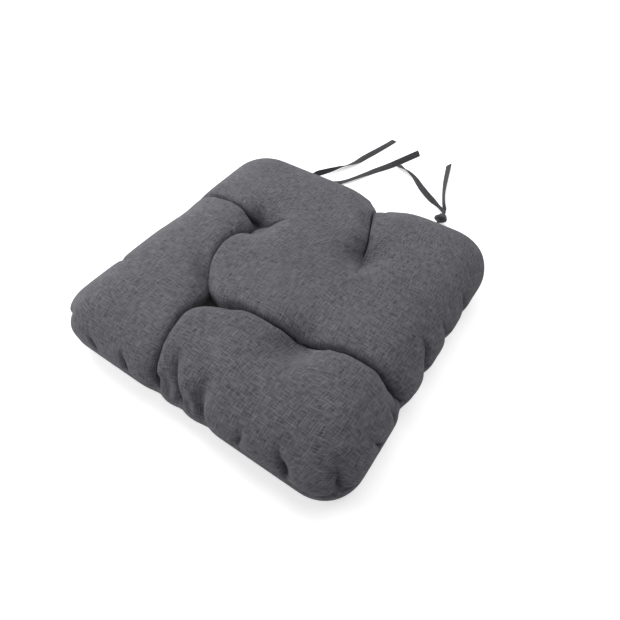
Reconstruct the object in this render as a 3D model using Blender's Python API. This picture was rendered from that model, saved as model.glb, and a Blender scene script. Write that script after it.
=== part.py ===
"""Tufted chair seat pad with two pairs of tie tapes, as separate sewn pieces.

Metres, +Z up. The origin is at the middle of the pad's underside. +Y points to the back edge, where the
ties are sewn in, and +X to the right of someone sitting on the pad.
"""
import math

import bmesh
import bpy
from mathutils import Vector

# --- The cushion -----------------------------------------------------------------------------------------
PAD_WIDTH = 0.400
PAD_DEPTH = 0.400
PAD_HEIGHT = 0.082
SEAM_HEIGHT = 0.035
FRONT_CORNER_RADIUS = 0.049
BACK_CORNER_RADIUS = 0.069
CORNER_TIGHTENING = 0.5          # how much of an inset a corner's radius loses
CROWN_RUN = 0.050                # how far in from the seam the upper side reaches its shoulder
CROWN_DOME = 0.004               # rise from the shoulder to the middle
BASE_RUN = 0.030                 # how far in from the seam the lower side comes down to the base
FABRIC_THICKNESS = 0.0010
FIT_CLEARANCE = 0.0003           # between pieces that touch
FILLING_CLEARANCE = 0.0012       # between the filling and the cover, measured upright
SEAM_ALLOWANCE = 0.012           # width of the panel edge that is turned in at the seam

# --- Tufting ---------------------------------------------------------------------------------------------
TUFTS = {
    "back_left": (-0.088, 0.057),
    "front_left": (-0.055, -0.083),
    "back_right": (0.062, 0.078),
    "front_right": (0.069, -0.076),
}
TUFT_HEIGHT = 0.050              # the upper cover's height where a tuft pulls it down
TUFT_REACH = 0.060               # radius of the hollow round a tuft, on the upper side
BASE_TUFT_HEIGHT = 0.006         # the lower cover's height where a tuft pulls it up
BASE_TUFT_REACH = 0.036
TUFT_FLOOR = 0.009               # radius of the level spot under a stitch
TUFT_GATHER = 0.040              # within this distance the cover's faces crowd towards a tuft
TUFT_THREAD = 0.0012             # thickness of the tufting thread
TUFT_STITCH = 0.0064             # distance between the stitch's two legs
TUFT_STITCH_STANDOFF = 0.0022    # from the cover to the middle of the stitch that lies on it

# --- Seam and ties ---------------------------------------------------------------------------------------
TAPE_WIDTH = 0.011
TAPE_THICKNESS = 0.0008
SEAM_THREAD = 0.0008
SEAM_THREAD_INSET = 0.0012
TIE_OFFSET = 0.115               # from the middle of the back edge to the middle of each pair of ties
TIE_GAP = 0.001                  # between the two strands of a pair at the seam
HINGE_STANDOFF = 0.002           # how far behind the seam a strand bends
FOLD_DEPTH = 0.010               # how far into the seam a folded tie reaches
FOLD_BRIDGE = 0.003              # the part of the fold that joins its two strands
STRAND_POINTS = 56

# --- The knot in the right pair --------------------------------------------------------------------------
KNOT_OFFSET = -0.0192            # across, from the middle of the right pair
KNOT_PAST_SEAM = 0.0690
KNOT_RADIUS = 0.0092
KNOT_END_RADIUS = 0.0070
KNOT_LENGTH = 0.0160
KNOT_SPACING = 0.0014            # between the middles of the two strands inside the knot
GATHER_START = 0.012             # how far past the seam the right pair begins to close up
GATHER_END = 0.054               # and where it is as close as in the knot

TIE_SPACING = TAPE_WIDTH + TIE_GAP
SEAM_GAP = TAPE_THICKNESS + 2 * FIT_CLEARANCE
UPPER_EDGE = SEAM_HEIGHT + SEAM_GAP / 2
LOWER_EDGE = SEAM_HEIGHT - SEAM_GAP / 2
BACK_SEAM = PAD_DEPTH / 2
STRAND_LIFT = SEAM_HEIGHT - TAPE_THICKNESS / 2

CORNER_STEPS = 7
SIDE_STEPS = 5
UPPER_WALL_RINGS = 5
LOWER_WALL_RINGS = 4
UPPER_RINGS = 9
LOWER_RINGS = 8

# A strand's route, from the seam to its tip: how far it drifts across from its own place in the pair,
# distance past the seam, height of the tape's lower edge, and lean in degrees (0 flat, 90 on edge).
LEFT_OUTER_ROUTE = [
    (0.0, 0.0030, STRAND_LIFT, 0),
    (-0.0010, 0.0120, 0.0320, 4),
    (-0.0040, 0.0230, 0.0215, 22),
    (-0.0075, 0.0340, 0.0090, 52),
    (-0.0095, 0.0460, 0.0015, 78),
    (-0.0075, 0.0600, 0.0, 94),
    (0.0, 0.0725, 0.0, 91),
    (0.0098, 0.0887, 0.0, 74),
    (0.0150, 0.0999, 0.0, 57),
    (0.0204, 0.1109, 0.0, 38),
    (0.0270, 0.1278, 0.0, 14),
    (0.0331, 0.1516, 0.0, -9),
    (0.0421, 0.1873, 0.0, -7),
    (0.0519, 0.2322, 0.0, 4),
]
LEFT_INNER_ROUTE = [
    (0.0, 0.0030, STRAND_LIFT, 0),
    (0.0005, 0.0120, 0.0320, 0),
    (0.0020, 0.0230, 0.0215, 0),
    (0.0050, 0.0340, 0.0095, -3),
    (0.0090, 0.0460, 0.0020, -7),
    (0.0154, 0.0589, 0.0, -8),
    (0.0291, 0.0750, 0.0, 13),
    (0.0402, 0.0961, 0.0, 12),
    (0.0536, 0.1251, 0.0, -4),
    (0.0702, 0.1536, 0.0, -22),
    (0.0816, 0.1770, 0.0, -40),
    (0.0974, 0.2163, 0.0, -46),
]
RIGHT_LEAD_ROUTE = [
    (0.0, 0.0030, STRAND_LIFT, 0),
    (-0.0006, 0.0120, 0.0325, 8),
    (-0.0033, 0.0230, 0.0240, 30),
    (-0.0096, 0.0340, 0.0130, 56),
    (-0.0162, 0.0450, 0.0060, 80),
    (KNOT_OFFSET, 0.0540, 0.0040, 90),
    (KNOT_OFFSET, 0.0610, 0.0040, 90),
    (KNOT_OFFSET, 0.0690, 0.0040, 90),
    (KNOT_OFFSET, 0.0770, 0.0040, 90),
]
RIGHT_INNER_ROUTE = RIGHT_LEAD_ROUTE + [
    (-0.0199, 0.0830, 0.0030, 92),
    (-0.0255, 0.0905, 0.0010, 100),
    (-0.0328, 0.0958, 0.0, 105),
    (-0.0406, 0.1008, 0.0, 96),
    (-0.0545, 0.1085, 0.0, 73),
    (-0.0764, 0.1241, 0.0, 69),
    (-0.0922, 0.1373, 0.0, 80),
    (-0.1062, 0.1481, 0.0, 104),
    (-0.1205, 0.1561, 0.0, 128),
    (-0.1296, 0.1613, 0.0, 156),
    (-0.1405, 0.1668, 0.0, 174),
]
RIGHT_OUTER_ROUTE = RIGHT_LEAD_ROUTE + [
    (-0.0197, 0.0830, 0.0030, 88),
    (-0.0232, 0.0925, 0.0010, 84),
    (-0.0307, 0.1050, 0.0, 80),
    (-0.0392, 0.1235, 0.0, 77),
    (-0.0474, 0.1452, 0.0, 65),
    (-0.0571, 0.1747, 0.0, 50),
    (-0.0687, 0.2132, 0.0, 42),
]


def clear_scene():
    """Remove every object, so that the model starts from nothing."""
    for old in list(bpy.data.objects):
        bpy.data.objects.remove(old, do_unlink=True)


def finish(name, colour, roughness):
    """A matte material."""
    material = bpy.data.materials.new(name)
    material.use_nodes = True
    shader = material.node_tree.nodes["Principled BSDF"]
    shader.inputs["Base Color"].default_value = (*colour, 1.0)
    shader.inputs["Roughness"].default_value = roughness
    shader.inputs["Metallic"].default_value = 0.0
    return material


def place(name, bm, material):
    """A named object with a bmesh's shape."""
    mesh = bpy.data.meshes.new(name)
    bm.normal_update()
    bm.to_mesh(mesh)
    bm.free()
    mesh.shade_smooth()
    mesh.set_sharp_from_angle(angle=math.radians(40))
    part = bpy.data.objects.new(name, mesh)
    part.data.materials.append(material)
    bpy.context.collection.objects.link(part)
    return part


def outline(inset):
    """The pad's rounded outline, drawn in by inset, as a list of (x, y), counter-clockwise."""
    points = []
    corners = (
        (1, -1, FRONT_CORNER_RADIUS, -90),
        (1, 1, BACK_CORNER_RADIUS, 0),
        (-1, 1, BACK_CORNER_RADIUS, 90),
        (-1, -1, FRONT_CORNER_RADIUS, 180),
    )
    for side_x, side_y, full_radius, start in corners:
        radius = full_radius - CORNER_TIGHTENING * inset
        centre_x = side_x * (PAD_WIDTH / 2 - inset - radius)
        centre_y = side_y * (PAD_DEPTH / 2 - inset - radius)
        arc = []
        for step in range(CORNER_STEPS):
            angle = math.radians(start + 90 * step / (CORNER_STEPS - 1))
            arc.append((centre_x + radius * math.cos(angle), centre_y + radius * math.sin(angle)))
        points.append(arc)
    loop = []
    for index, arc in enumerate(points):
        loop.extend(arc)
        following = points[(index + 1) % len(points)][0]
        for step in range(1, SIDE_STEPS + 1):
            share = step / (SIDE_STEPS + 1)
            loop.append((
                arc[-1][0] + (following[0] - arc[-1][0]) * share,
                arc[-1][1] + (following[1] - arc[-1][1]) * share,
            ))
    return loop


def hollow(x, y, reach):
    """How far a tuft pulls the cover in at (x, y): 1 at a tuft, falling to 0 at reach."""
    pull = 0.0
    for tuft_x, tuft_y in TUFTS.values():
        away = math.hypot(x - tuft_x, y - tuft_y)
        share = min(max((away - TUFT_FLOOR) / (reach - TUFT_FLOOR), 0.0), 1.0)
        pull = max(pull, 1 - share * share * (3 - 2 * share))
    return pull


def gather(x, y):
    """Draw a point near a tuft closer to it, so that small faces follow the hollow's floor."""
    for tuft_x, tuft_y in TUFTS.values():
        away = math.hypot(x - tuft_x, y - tuft_y)
        if away < TUFT_GATHER:
            share = away / TUFT_GATHER
            return tuft_x + (x - tuft_x) * share, tuft_y + (y - tuft_y) * share
    return x, y


def border_ring(inset, height):
    """A level ring that follows the outline."""
    return [Vector((x, y, height)) for x, y in outline(inset)]


def upper_rings(offset):
    """Rings over the upper side, offset below the cover's outer face, from the middle outwards."""
    shoulder = PAD_HEIGHT - CROWN_DOME
    rings = []
    for step in range(1, UPPER_RINGS + 1):
        share = step / UPPER_RINGS
        ring = []
        for x, y in outline(CROWN_RUN):
            x, y = gather(x * share, y * share)
            crown = PAD_HEIGHT - CROWN_DOME * share * share
            drop = (crown - TUFT_HEIGHT) * hollow(x, y, TUFT_REACH)
            ring.append(Vector((x, y, crown - drop - offset)))
        rings.append(ring)
    for step in range(1, UPPER_WALL_RINGS):
        angle = math.radians(90 - 90 * step / UPPER_WALL_RINGS)
        inset = CROWN_RUN - (CROWN_RUN - offset) * math.cos(angle)
        height = UPPER_EDGE + (shoulder - UPPER_EDGE - offset) * math.sin(angle)
        rings.append(border_ring(inset, height))
    return rings


def lower_rings(offset):
    """Rings over the lower side, offset above the cover's outer face, from the middle outwards."""
    rings = []
    for step in range(1, LOWER_RINGS + 1):
        share = step / LOWER_RINGS
        ring = []
        for x, y in outline(BASE_RUN):
            x, y = gather(x * share, y * share)
            ring.append(Vector((x, y, BASE_TUFT_HEIGHT * hollow(x, y, BASE_TUFT_REACH) + offset)))
        rings.append(ring)
    for step in range(1, LOWER_WALL_RINGS):
        angle = math.radians(90 - 90 * step / LOWER_WALL_RINGS)
        inset = BASE_RUN - (BASE_RUN - offset) * math.cos(angle)
        height = LOWER_EDGE - (LOWER_EDGE - offset) * math.sin(angle)
        rings.append(border_ring(inset, height))
    return rings


def loft(rings, start, end):
    """A closed body through rings of equal length, with a point at each end.

    Each quad is split from its ring nearer the middle, so that two sheets a fabric apart fold alike.
    """
    bm = bmesh.new()
    loops = [[bm.verts.new(point) for point in ring] for ring in rings]
    first = bm.verts.new(start)
    last = bm.verts.new(end)
    count = len(loops[0])
    for index in range(count):
        after = (index + 1) % count
        bm.faces.new((first, loops[0][after], loops[0][index]))
        bm.faces.new((last, loops[-1][index], loops[-1][after]))
        for one, two in zip(loops, loops[1:]):
            near, far = sorted((one, two), key=lambda loop: loop[0].co.xy.length)
            bm.faces.new((near[index], near[after], far[after]))
            bm.faces.new((near[index], far[after], far[index]))
    bmesh.ops.recalc_face_normals(bm, faces=bm.faces)
    return bm


def middle(rings):
    """The point where a set of rings closes, level with the smallest ring's highest point."""
    return Vector((0.0, 0.0, max(point.z for point in rings[0])))


def tuft_holes(name):
    """Upright rods where the legs of the tufting threads pass, as one cutter."""
    bm = bmesh.new()
    radius = TUFT_THREAD / 2 + FIT_CLEARANCE
    for tuft_x, tuft_y in TUFTS.values():
        for side in (-1, 1):
            made = bmesh.ops.create_cone(
                bm, cap_ends=True, segments=10, radius1=radius, radius2=radius, depth=2 * PAD_HEIGHT,
            )
            shift = Vector((tuft_x + side * TUFT_STITCH / 2, tuft_y, PAD_HEIGHT / 2))
            bmesh.ops.translate(bm, verts=made["verts"], vec=shift)
    cutter = place(name, bm, finish(name, (0.5, 0.5, 0.5), 0.5))
    cutter.hide_render = True
    cutter.display_type = "WIRE"
    return cutter


def drill(part, cutter):
    """Cut the tufting holes through a piece."""
    cut = part.modifiers.new("tufting_holes", "BOOLEAN")
    cut.operation = "DIFFERENCE"
    cut.solver = "EXACT"
    cut.object = cutter


def top_cover_panel(fabric, cutter):
    """The upper panel: a dished sheet whose edge is turned in along the seam."""
    outside = upper_rings(0.0)
    inside = upper_rings(FABRIC_THICKNESS)
    rings = outside + [
        border_ring(0.0, UPPER_EDGE),
        border_ring(SEAM_ALLOWANCE, UPPER_EDGE),
        border_ring(SEAM_ALLOWANCE, UPPER_EDGE + FABRIC_THICKNESS),
        border_ring(2 * FABRIC_THICKNESS, UPPER_EDGE + FABRIC_THICKNESS),
    ] + inside[::-1]
    drill(place("top_cover_panel", loft(rings, middle(outside), middle(inside)), fabric), cutter)


def bottom_cover_panel(fabric, cutter):
    """The lower panel: a shallow tray with a flat base, whose edge is turned in along the seam."""
    outside = lower_rings(0.0)
    inside = lower_rings(FABRIC_THICKNESS)
    rings = outside + [
        border_ring(0.0, LOWER_EDGE),
        border_ring(SEAM_ALLOWANCE, LOWER_EDGE),
        border_ring(SEAM_ALLOWANCE, LOWER_EDGE - FABRIC_THICKNESS),
        border_ring(2 * FABRIC_THICKNESS, LOWER_EDGE - FABRIC_THICKNESS),
    ] + inside[::-1]
    drill(place("bottom_cover_panel", loft(rings, middle(outside), middle(inside)), fabric), cutter)


def fibre_filling(fibre, cutter):
    """The filling, which takes the cover's inner shape and leaves room for the turned-in edges."""
    offset = FABRIC_THICKNESS + FILLING_CLEARANCE
    upper = upper_rings(offset)
    lower = lower_rings(offset)
    notch = SEAM_ALLOWANCE + FILLING_CLEARANCE
    above = UPPER_EDGE + offset
    below = LOWER_EDGE - offset
    rings = upper + [
        border_ring(offset + FABRIC_THICKNESS, above),
        border_ring(notch, above),
        border_ring(notch, below),
        border_ring(offset + FABRIC_THICKNESS, below),
    ] + lower[::-1]
    drill(place("fibre_filling", loft(rings, middle(upper), middle(lower)), fibre), cutter)


def tube(name, points, radius, material, closed=False):
    """A round thread along points."""
    curve = bpy.data.curves.new(name, "CURVE")
    curve.dimensions = "3D"
    curve.bevel_depth = radius
    curve.bevel_resolution = 1
    curve.use_fill_caps = not closed
    spline = curve.splines.new("POLY")
    spline.points.add(len(points) - 1)
    spline.use_cyclic_u = closed
    for target, point in zip(spline.points, points):
        target.co = (*point, 1.0)
    part = bpy.data.objects.new(name, curve)
    part.data.materials.append(material)
    bpy.context.collection.objects.link(part)
    return part


def tufting_thread(name, tuft, thread):
    """A loop of thread through the pad, with a stitch on each side of it."""
    tuft_x, tuft_y = tuft
    top = TUFT_HEIGHT + TUFT_STITCH_STANDOFF
    bottom = BASE_TUFT_HEIGHT - TUFT_STITCH_STANDOFF
    half = TUFT_STITCH / 2
    bend = TUFT_THREAD
    points = []
    corners = ((1, top, -1, 0), (-1, top, -1, 90), (-1, bottom, 1, 180), (1, bottom, 1, 270))
    for side_x, level, side_z, start in corners:
        for step in range(4):
            angle = math.radians(start + 30 * step)
            points.append((
                tuft_x + side_x * (half - bend) + bend * math.cos(angle),
                tuft_y,
                level + side_z * bend + bend * math.sin(angle),
            ))
    tube(name, points, TUFT_THREAD / 2, thread, closed=True)


def seam_threads(thread):
    """The lockstitch round the edge, and the one that closes the opening between the ties."""
    half = TIE_SPACING / 2 + TAPE_WIDTH / 2 + FIT_CLEARANCE + SEAM_THREAD / 2
    back = BACK_SEAM - SEAM_THREAD_INSET
    left = -TIE_OFFSET - half
    right = TIE_OFFSET + half
    loop = outline(SEAM_THREAD_INSET)
    between = [index for index, (x, y) in enumerate(loop) if y > back - 1e-4 and left < x < right]
    round_edge = loop[between[-1] + 1:] + loop[:between[0]]
    route = [(x, y, SEAM_HEIGHT) for x, y in [(left, back), *round_edge, (right, back)]]
    tube("perimeter_seam_thread", route, SEAM_THREAD / 2, thread)
    reach = TIE_OFFSET - half
    closing = [(reach * share / 4, back, SEAM_HEIGHT) for share in range(-4, 5)]
    tube("closing_seam_thread", closing, SEAM_THREAD / 2, thread)


def tie_fold(name, side, tape):
    """The middle of a tie tape, folded and caught in the seam, with its two strands side by side."""
    centre = side * TIE_OFFSET
    half_pair = TIE_SPACING / 2
    half_tape = TAPE_WIDTH / 2
    back = BACK_SEAM + HINGE_STANDOFF
    front = BACK_SEAM - FOLD_DEPTH
    outer = half_pair + half_tape
    inner = half_pair - half_tape
    profile = [
        (-outer, front), (outer, front), (outer, back), (inner, back),
        (inner, front + FOLD_BRIDGE), (-inner, front + FOLD_BRIDGE), (-inner, back), (-outer, back),
    ]
    bm = bmesh.new()
    base = SEAM_HEIGHT - TAPE_THICKNESS / 2
    face = bm.faces.new([bm.verts.new((centre + x, y, base)) for x, y in profile])
    grown = bmesh.ops.extrude_face_region(bm, geom=[face])
    risen = [item for item in grown["geom"] if isinstance(item, bmesh.types.BMVert)]
    bmesh.ops.translate(bm, verts=risen, vec=(0.0, 0.0, TAPE_THICKNESS))
    bmesh.ops.recalc_face_normals(bm, faces=bm.faces)
    ends = [
        edge for edge in bm.edges
        if all(abs(vert.co.y - back) < 1e-6 for vert in edge.verts)
        and abs(edge.verts[0].co.z - edge.verts[1].co.z) < 1e-6
    ]
    bmesh.ops.bevel(bm, geom=ends, offset=TAPE_THICKNESS * 0.3, segments=2, affect="EDGES", profile=0.5)
    place(name, bm, tape)


def smooth_route(route, count):
    """Evenly spaced rows along a smooth curve through a route's rows."""
    rows = [tuple(float(value) for value in row) for row in route]
    fine = []
    steps = 12
    for index in range(len(rows) - 1):
        before = rows[max(index - 1, 0)]
        start, end = rows[index], rows[index + 1]
        after = rows[min(index + 2, len(rows) - 1)]
        for step in range(steps):
            t = step / steps
            fine.append(tuple(
                0.5 * (2 * b + (c - a) * t + (2 * a - 5 * b + 4 * c - d) * t * t
                       + (3 * b - a - 3 * c + d) * t ** 3)
                for a, b, c, d in zip(before, start, end, after)
            ))
    fine.append(rows[-1])
    lengths = [0.0]
    for one, two in zip(fine, fine[1:]):
        lengths.append(lengths[-1] + (Vector(two[:3]) - Vector(one[:3])).length)
    even = []
    place_in = 0
    for number in range(count):
        target = lengths[-1] * number / (count - 1)
        while place_in < len(fine) - 2 and lengths[place_in + 1] < target:
            place_in += 1
        span = lengths[place_in + 1] - lengths[place_in]
        share = (target - lengths[place_in]) / span
        even.append(tuple(
            one + (two - one) * share for one, two in zip(fine[place_in], fine[place_in + 1])
        ))
    return even


def loose_spread(past):
    """Half the distance between the strands of a loose pair, which doesn't change."""
    return TIE_SPACING / 2


def knotted_spread(past):
    """Half the distance between the strands of the knotted pair, which closes up towards the knot."""
    share = min(max((past - GATHER_START) / (GATHER_END - GATHER_START), 0.0), 1.0)
    ease = share * share * (3 - 2 * share)
    return (TIE_SPACING + (KNOT_SPACING - TIE_SPACING) * ease) / 2


def tie_strand(name, side, strand, route, spread, tape):
    """One strand of a tie: a flat tape along its route, hinged where it leaves the seam.

    side is -1 or 1 for the left or right pair, and strand is -1 or 1 for the left or right one in it.
    """
    root = side * TIE_OFFSET
    hinge = Vector((root + strand * TIE_SPACING / 2, BACK_SEAM + HINGE_STANDOFF, SEAM_HEIGHT))
    rows = [(drift + strand * spread(past), past, lift, lean) for drift, past, lift, lean in route]
    curve = bpy.data.curves.new(name, "CURVE")
    curve.dimensions = "3D"
    curve.twist_mode = "Z_UP"
    curve.extrude = (TAPE_WIDTH - TAPE_THICKNESS) / 2
    curve.bevel_depth = TAPE_THICKNESS / 2
    curve.bevel_resolution = 0
    curve.use_fill_caps = True
    spline = curve.splines.new("POLY")
    spline.points.add(STRAND_POINTS - 1)
    for target, (across, past, lift, lean) in zip(spline.points, smooth_route(rows, STRAND_POINTS)):
        rise = abs(math.sin(math.radians(lean))) * (TAPE_WIDTH - TAPE_THICKNESS) / 2 + TAPE_THICKNESS / 2
        point = Vector((root + across, BACK_SEAM + past, max(lift, 0.0) + rise))
        target.co = (*(point - hinge), 1.0)
        target.tilt = math.radians(90 - lean)
    part = bpy.data.objects.new(name, curve)
    part.location = hinge
    part.data.materials.append(tape)
    bpy.context.collection.objects.link(part)
    return part


def right_tie_knot(tape):
    """The overhand knot in the right pair, wrapped round both strands."""
    bm = bmesh.new()
    rings = 9
    sides = 20
    loops = []
    for number in range(rings):
        share = 2 * number / (rings - 1) - 1
        radius = KNOT_RADIUS - (KNOT_RADIUS - KNOT_END_RADIUS) * share * share
        loop = []
        for step in range(sides):
            angle = 2 * math.pi * step / sides
            across, upward = radius * math.cos(angle), radius * math.sin(angle)
            loop.append(bm.verts.new((across, share * KNOT_LENGTH / 2, upward)))
        loops.append(loop)
    for near, far in zip(loops, loops[1:]):
        for index in range(sides):
            after = (index + 1) % sides
            bm.faces.new((near[index], near[after], far[after], far[index]))
    bm.faces.new(loops[0])
    bm.faces.new(loops[-1][::-1])
    bmesh.ops.recalc_face_normals(bm, faces=bm.faces)
    knot = place("right_tie_knot", bm, tape)
    knot.location = (TIE_OFFSET + KNOT_OFFSET, BACK_SEAM + KNOT_PAST_SEAM, KNOT_RADIUS + FIT_CLEARANCE)
    slot = bmesh.new()
    bmesh.ops.create_cube(slot, size=1.0)
    width = KNOT_SPACING + TAPE_THICKNESS + 2 * FIT_CLEARANCE
    height = TAPE_WIDTH + 2 * FIT_CLEARANCE
    bmesh.ops.scale(slot, verts=slot.verts, vec=(width, 2 * KNOT_LENGTH, height))
    cutter = place("knot_slot", slot, tape)
    cutter.location = knot.location
    cutter.hide_render = True
    cutter.display_type = "WIRE"
    cut = knot.modifiers.new("strands", "BOOLEAN")
    cut.operation = "DIFFERENCE"
    cut.solver = "EXACT"
    cut.object = cutter


def main():
    """Build the pad."""
    clear_scene()
    fabric = finish("charcoal_woven_cover", (0.115, 0.113, 0.124), 0.9)
    tape = finish("charcoal_woven_tape", (0.095, 0.094, 0.104), 0.85)
    fibre = finish("white_polyester_fibre", (0.80, 0.80, 0.78), 1.0)
    thread = finish("charcoal_sewing_thread", (0.070, 0.070, 0.078), 0.7)
    cutter = tuft_holes("tufting_hole_rods")
    top_cover_panel(fabric, cutter)
    bottom_cover_panel(fabric, cutter)
    fibre_filling(fibre, cutter)
    for corner, tuft in TUFTS.items():
        tufting_thread(f"tufting_thread_{corner}", tuft, thread)
    seam_threads(thread)
    tie_fold("left_tie_fold", -1, tape)
    tie_fold("right_tie_fold", 1, tape)
    tie_strand("left_tie_outer_strand", -1, -1, LEFT_OUTER_ROUTE, loose_spread, tape)
    tie_strand("left_tie_inner_strand", -1, 1, LEFT_INNER_ROUTE, loose_spread, tape)
    tie_strand("right_tie_inner_strand", 1, -1, RIGHT_INNER_ROUTE, knotted_spread, tape)
    tie_strand("right_tie_outer_strand", 1, 1, RIGHT_OUTER_ROUTE, knotted_spread, tape)
    right_tie_knot(tape)


main()
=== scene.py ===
"""The looks of a tufted chair seat pad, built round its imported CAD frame.

Everything is in metres, with +Z up and the ties leaving the pad at +Y. The cover is a grid of
cloth that is relaxed over the filling with its tufts and creases pulled down. The ties are
pressed tapes that follow the routes of their CAD strands.
"""

import logging
import math
from dataclasses import dataclass
from enum import Enum

import bmesh
import bpy
import numpy as np
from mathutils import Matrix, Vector


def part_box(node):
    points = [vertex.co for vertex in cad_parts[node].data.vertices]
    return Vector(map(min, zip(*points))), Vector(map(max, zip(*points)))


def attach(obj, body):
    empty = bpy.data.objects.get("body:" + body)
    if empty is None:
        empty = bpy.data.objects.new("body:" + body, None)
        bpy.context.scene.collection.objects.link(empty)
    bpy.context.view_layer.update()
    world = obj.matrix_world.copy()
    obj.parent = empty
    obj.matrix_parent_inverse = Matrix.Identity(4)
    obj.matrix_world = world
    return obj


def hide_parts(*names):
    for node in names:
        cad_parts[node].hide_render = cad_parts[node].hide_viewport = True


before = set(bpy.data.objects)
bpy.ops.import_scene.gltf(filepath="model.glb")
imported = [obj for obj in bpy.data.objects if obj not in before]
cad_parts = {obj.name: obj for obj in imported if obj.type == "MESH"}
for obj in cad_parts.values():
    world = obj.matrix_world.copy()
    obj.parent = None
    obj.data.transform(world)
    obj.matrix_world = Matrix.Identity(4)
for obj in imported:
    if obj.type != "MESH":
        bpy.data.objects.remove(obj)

LOG = logging.getLogger("seat_pad")
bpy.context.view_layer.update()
CUSHION = "cushion"


# ---------------------------------------------------------------- helpers


def smoothstep(value: float | np.ndarray) -> float | np.ndarray:
    """Ease a number or an array from 0 to 1, held at both ends."""
    held = np.clip(value, 0.0, 1.0)
    return held * held * (3 - 2 * held)


def smooth_curve(rows: tuple | np.ndarray, step: float, span: int = 2) -> np.ndarray:
    """Carry a smooth curve through rows of numbers.

    Args:
        rows: The rows to pass through. Their first span columns are a place.
        step: The greatest distance between points, in metres.
        span: How many columns count as place.

    Returns:
        An array of rows, close together and evenly spaced.
    """
    rows = np.asarray(rows, float)
    last = len(rows) - 1
    points = []
    for start in range(last):
        before = rows[max(start - 1, 0)]
        here = rows[start]
        there = rows[start + 1]
        after = rows[min(start + 2, last)]
        for t in np.arange(12) / 12:
            points.append(
                0.5
                * (
                    2 * here
                    + (there - before) * t
                    + (2 * before - 5 * here + 4 * there - after) * t**2
                    + (3 * here - before - 3 * there + after) * t**3
                )
            )
    points.append(rows[-1])
    points = np.array(points)
    gaps = np.linalg.norm(np.diff(points[:, :span], axis=0), axis=1)
    travelled = np.r_[0.0, np.cumsum(gaps)]
    count = max(int(math.ceil(travelled[-1] / step)), 2)
    wanted = np.linspace(0.0, travelled[-1], count + 1)
    columns = [np.interp(wanted, travelled, column) for column in points.T]
    return np.stack(columns, axis=1)


def unit(vectors: np.ndarray) -> np.ndarray:
    """Scale vectors in the last axis to length 1."""
    return vectors / np.maximum(np.linalg.norm(vectors, axis=-1, keepdims=True), 1e-12)


def new_piece(
    name: str,
    vertices: np.ndarray | list,
    faces: np.ndarray | list,
    uvs: np.ndarray | None = None,
    smooth: bool = True,
) -> bpy.types.Object:
    """Make a mesh object at the origin.

    Args:
        name: The piece's name.
        vertices: Its points, in metres.
        faces: Its faces, as indices into the points.
        uvs: One (u, v) in metres for each corner of each face, or None.
        smooth: Whether its faces are shaded smooth.

    Returns:
        The new object, linked to the scene.
    """
    mesh = bpy.data.meshes.new(name)
    mesh.from_pydata(np.asarray(vertices).tolist(), [], [list(map(int, face)) for face in faces])
    if uvs is not None:
        layer = mesh.uv_layers.new(name="cloth")
        layer.data.foreach_set("uv", np.asarray(uvs, float).ravel())
    mesh.polygons.foreach_set("use_smooth", [smooth] * len(mesh.polygons))
    mesh.update()
    piece = bpy.data.objects.new(name, mesh)
    bpy.context.scene.collection.objects.link(piece)
    return piece


def finish_mesh(piece: bpy.types.Object, levels: int) -> None:
    """Subdivide a piece and apply it, so that nothing is live on it.

    Args:
        piece: The piece.
        levels: How many times it is subdivided.
    """
    bpy.ops.object.select_all(action="DESELECT")
    piece.select_set(True)
    bpy.context.view_layer.objects.active = piece
    smoother = piece.modifiers.new("smoother", "SUBSURF")
    smoother.levels = levels
    smoother.render_levels = levels
    bpy.ops.object.modifier_apply(modifier=smoother.name)
    shade_smooth(piece)


def shade_smooth(piece: bpy.types.Object) -> None:
    """Shade every face of a piece smooth."""
    piece.data.polygons.foreach_set("use_smooth", [True] * len(piece.data.polygons))


def face_out(piece: bpy.types.Object, merge: float = 0.0) -> None:
    """Turn a closed piece's faces outwards.

    Args:
        piece: The piece.
        merge: Points closer than this are made one first, in metres.
    """
    builder = bmesh.new()
    builder.from_mesh(piece.data)
    if merge:
        bmesh.ops.remove_doubles(builder, verts=builder.verts, dist=merge)
    bmesh.ops.recalc_face_normals(builder, faces=builder.faces)
    builder.to_mesh(piece.data)
    builder.free()


def grid_faces(side: int) -> np.ndarray:
    """The quads of a square grid of points.

    Args:
        side: How many points lie along a side.

    Returns:
        The faces, as indices into the points.
    """
    index = np.arange(side * side).reshape(side, side)
    corners = [index[:-1, :-1], index[1:, :-1], index[1:, 1:], index[:-1, 1:]]
    return np.stack(corners, axis=-1).reshape(-1, 4)


def declare(
    piece: bpy.types.Object, material: bpy.types.Material, body: str, node: str
) -> None:
    """Give a finished piece its material and its place in the frame.

    Args:
        piece: The piece.
        material: Its finish.
        body: The body that it rides on.
        node: The CAD node that it stands for.
    """
    piece.data.materials.append(material)
    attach(piece, body)
    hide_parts(node)
    LOG.info("%s: %d faces, on %s", piece.name, len(piece.data.polygons), body)


# ---------------------------------------------------------------- finishes


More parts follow.
